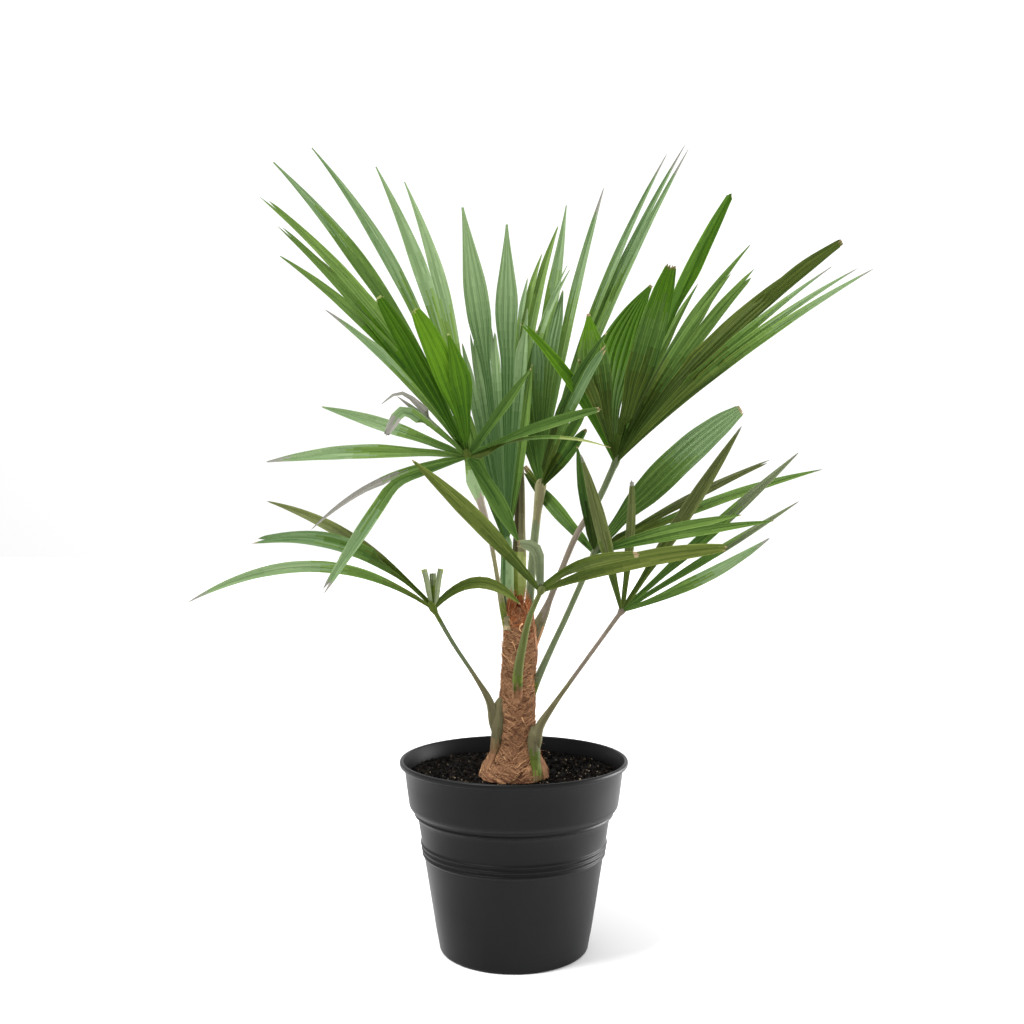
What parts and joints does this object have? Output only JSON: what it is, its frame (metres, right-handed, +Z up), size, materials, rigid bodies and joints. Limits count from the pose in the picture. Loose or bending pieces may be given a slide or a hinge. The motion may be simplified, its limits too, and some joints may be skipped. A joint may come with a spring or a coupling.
{
  "type": "potted chinese windmill palm",
  "caption": "Young windmill palm with a fibrous trunk and fan fronds on long stalks, in a round ribbed nursery pot.",
  "frame": {"origin": "middle of the pot's flat underside, on the surface that it stands on", "axes": "+Z up along the pot's axis, -Y towards the front of the plant, +X to the right seen from the front"},
  "size_m": [0.5992, 0.383, 0.8199],
  "materials": {
    "pot_plastic": "satin",
    "soil": "matte",
    "bark": "matte",
    "stalk": "satin",
    "leaf_mid": "satin",
    "leaf_glaucous": "satin",
    "leaf_dark": "satin"
  },
  "bodies": {
    "root": {"pot": "pot_plastic", "soil": "soil", "trunk": "bark", "stalk_left_low": "stalk", "fan_left_low": "leaf_mid", "stalk_left_upper": "stalk", "fan_left_upper": "leaf_mid", "stalk_centre_back": "stalk", "fan_centre_back": "leaf_glaucous", "stalk_centre": "stalk", "fan_centre": "leaf_mid", "stalk_centre_right": "stalk", "fan_centre_right": "leaf_glaucous", "stalk_right_upper": "stalk", "fan_right_upper": "leaf_dark", "stalk_right_mid": "stalk", "fan_right_mid": "leaf_mid", "stalk_right_low": "stalk", "fan_right_low": "leaf_dark", "stalk_front": "stalk", "fan_front": "leaf_mid"}
  },
  "joints": []
}
